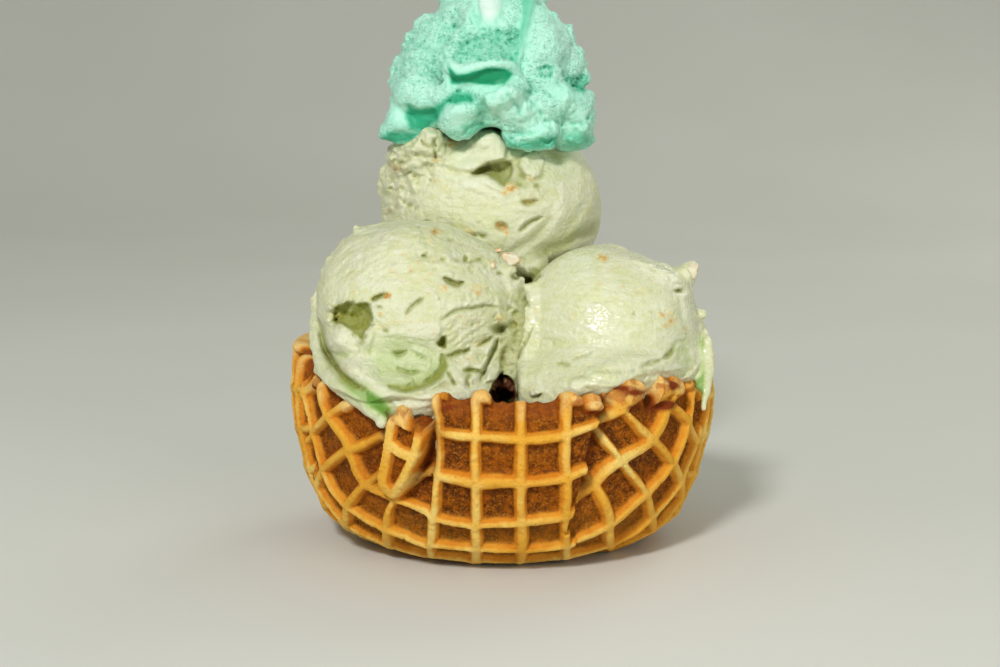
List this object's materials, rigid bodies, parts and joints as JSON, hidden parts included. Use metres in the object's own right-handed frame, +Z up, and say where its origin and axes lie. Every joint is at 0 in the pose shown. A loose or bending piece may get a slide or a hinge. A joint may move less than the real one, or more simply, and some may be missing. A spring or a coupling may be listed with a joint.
{
  "type": "waffle bowl sundae",
  "caption": "Folded waffle bowl filled with scoops of pale green ice cream under a ruffled mint-coloured whipped topping.",
  "frame": {"origin": "centre of the bowl at its foot, on the plane that the bowl rests on", "axes": "+Z up, the side shown in the picture faces -Y, +X to the right of that view"},
  "size_m": [0.12, 0.12, 0.165],
  "materials": {
    "waffle": "baked, rough, toasted cells between paler ridges",
    "ice_cream_nutty": "pale green, softly melting, with small caramel bits",
    "ice_cream_smooth": "pale green, melting to a gloss",
    "ice_cream_top": "pale green, dragged by the scoop, crumbly on one side",
    "whipped": "mint-coloured, fluffy and porous"
  },
  "bodies": {
    "root": {"waffle_bowl": "waffle", "scoop_left": "ice_cream_nutty", "scoop_right": "ice_cream_smooth", "scoop_top": "ice_cream_top", "whipped_topping": "whipped"}
  },
  "joints": []
}
